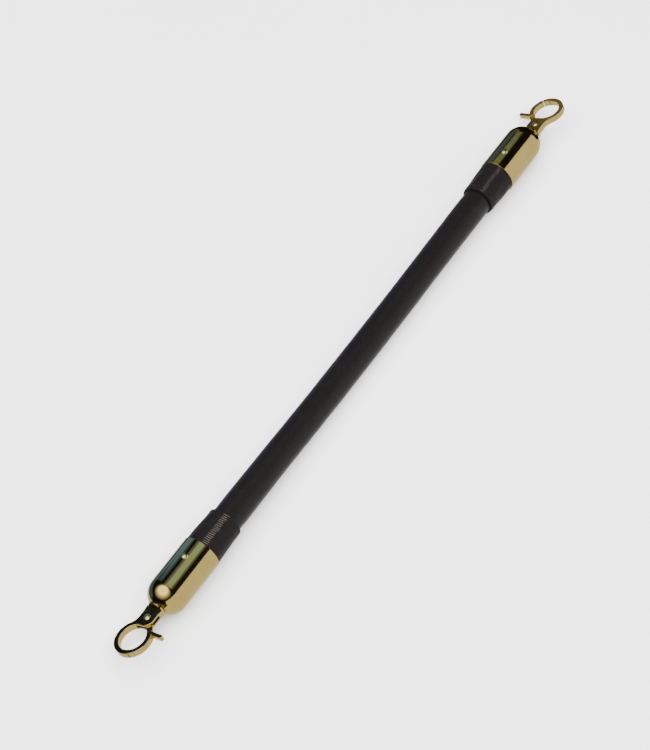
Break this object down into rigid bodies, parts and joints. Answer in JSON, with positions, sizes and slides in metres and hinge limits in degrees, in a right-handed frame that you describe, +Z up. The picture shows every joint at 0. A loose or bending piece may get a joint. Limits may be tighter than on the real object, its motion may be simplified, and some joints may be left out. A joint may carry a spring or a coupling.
{
  "type": "velvet barrier rope",
  "caption": "Straight stuffed velvet rope with a bullet-shaped brass cap at each end; each cap carries a swivelling ring hook with a sprung, lever-operated gate.",
  "frame": {"origin": "on the floor, below the middle of the rope", "axes": "+X along the rope from end a to end b, +Z up from the floor, +Y away from the side that the reference view looks from"},
  "size_m": [1, 0.07, 0.0519],
  "materials": {
    "velvet": "black-brown cotton velvet, matt with a soft sheen at grazing angles",
    "core_fibre": "bonded cotton fibre",
    "felt": "grey felt",
    "thread_light": "waxed grey-beige thread",
    "thread_dark": "black thread",
    "cap_brass": "polished and lacquered",
    "hook_brass": "polished",
    "plated_steel": "zinc plated",
    "spring_wire": "bright drawn wire"
  },
  "bodies": {
    "root": {"rope_cover": "velvet", "rope_core": "core_fibre", "a_cap": "cap_brass", "a_cap_rivet": "cap_brass", "a_cuff": "velvet", "a_cuff_wrap": "felt", "a_cuff_stitches": "thread_light", "b_cap": "cap_brass", "b_cap_rivet": "cap_brass", "b_cuff": "velvet", "b_cuff_wrap": "felt", "b_cuff_stitches": "thread_dark"},
    "a_hook_body": {"a_hook": "hook_brass", "a_swivel_collar": "cap_brass", "a_swivel_washer": "plated_steel", "a_swivel_pin": "plated_steel", "a_gate_pin": "hook_brass", "a_gate_spring": "spring_wire"},
    "a_gate_body": {"a_gate": "hook_brass"},
    "b_hook_body": {"b_hook": "hook_brass", "b_swivel_collar": "cap_brass", "b_swivel_washer": "plated_steel", "b_swivel_pin": "plated_steel", "b_gate_pin": "hook_brass", "b_gate_spring": "spring_wire"},
    "b_gate_body": {"b_gate": "hook_brass"}
  },
  "joints": [
    {"name": "a_swivel", "type": "hinge", "parent": "root", "child": "a_hook_body", "pos_m": [-0.4284, 0, 0.025], "axis": [1, 0, 0], "continuous": true},
    {"name": "a_gate_hinge", "type": "hinge", "parent": "a_hook_body", "child": "a_gate_body", "pos_m": [-0.4454, 0, 0.025], "axis": [0, 0.4384, 0.8988], "range_deg": [0, 30], "stiffness_Nm_per_rad": 0.15, "springref_deg": -28.65, "deforming": ["a_gate_spring"]},
    {"name": "b_swivel", "type": "hinge", "parent": "root", "child": "b_hook_body", "pos_m": [0.4284, 0, 0.025], "axis": [1, 0, 0], "continuous": true},
    {"name": "b_gate_hinge", "type": "hinge", "parent": "b_hook_body", "child": "b_gate_body", "pos_m": [0.4454, 0, 0.025], "axis": [0, 0.4384, 0.8988], "range_deg": [0, 30], "stiffness_Nm_per_rad": 0.15, "springref_deg": -28.65, "deforming": ["b_gate_spring"]}
  ]
}
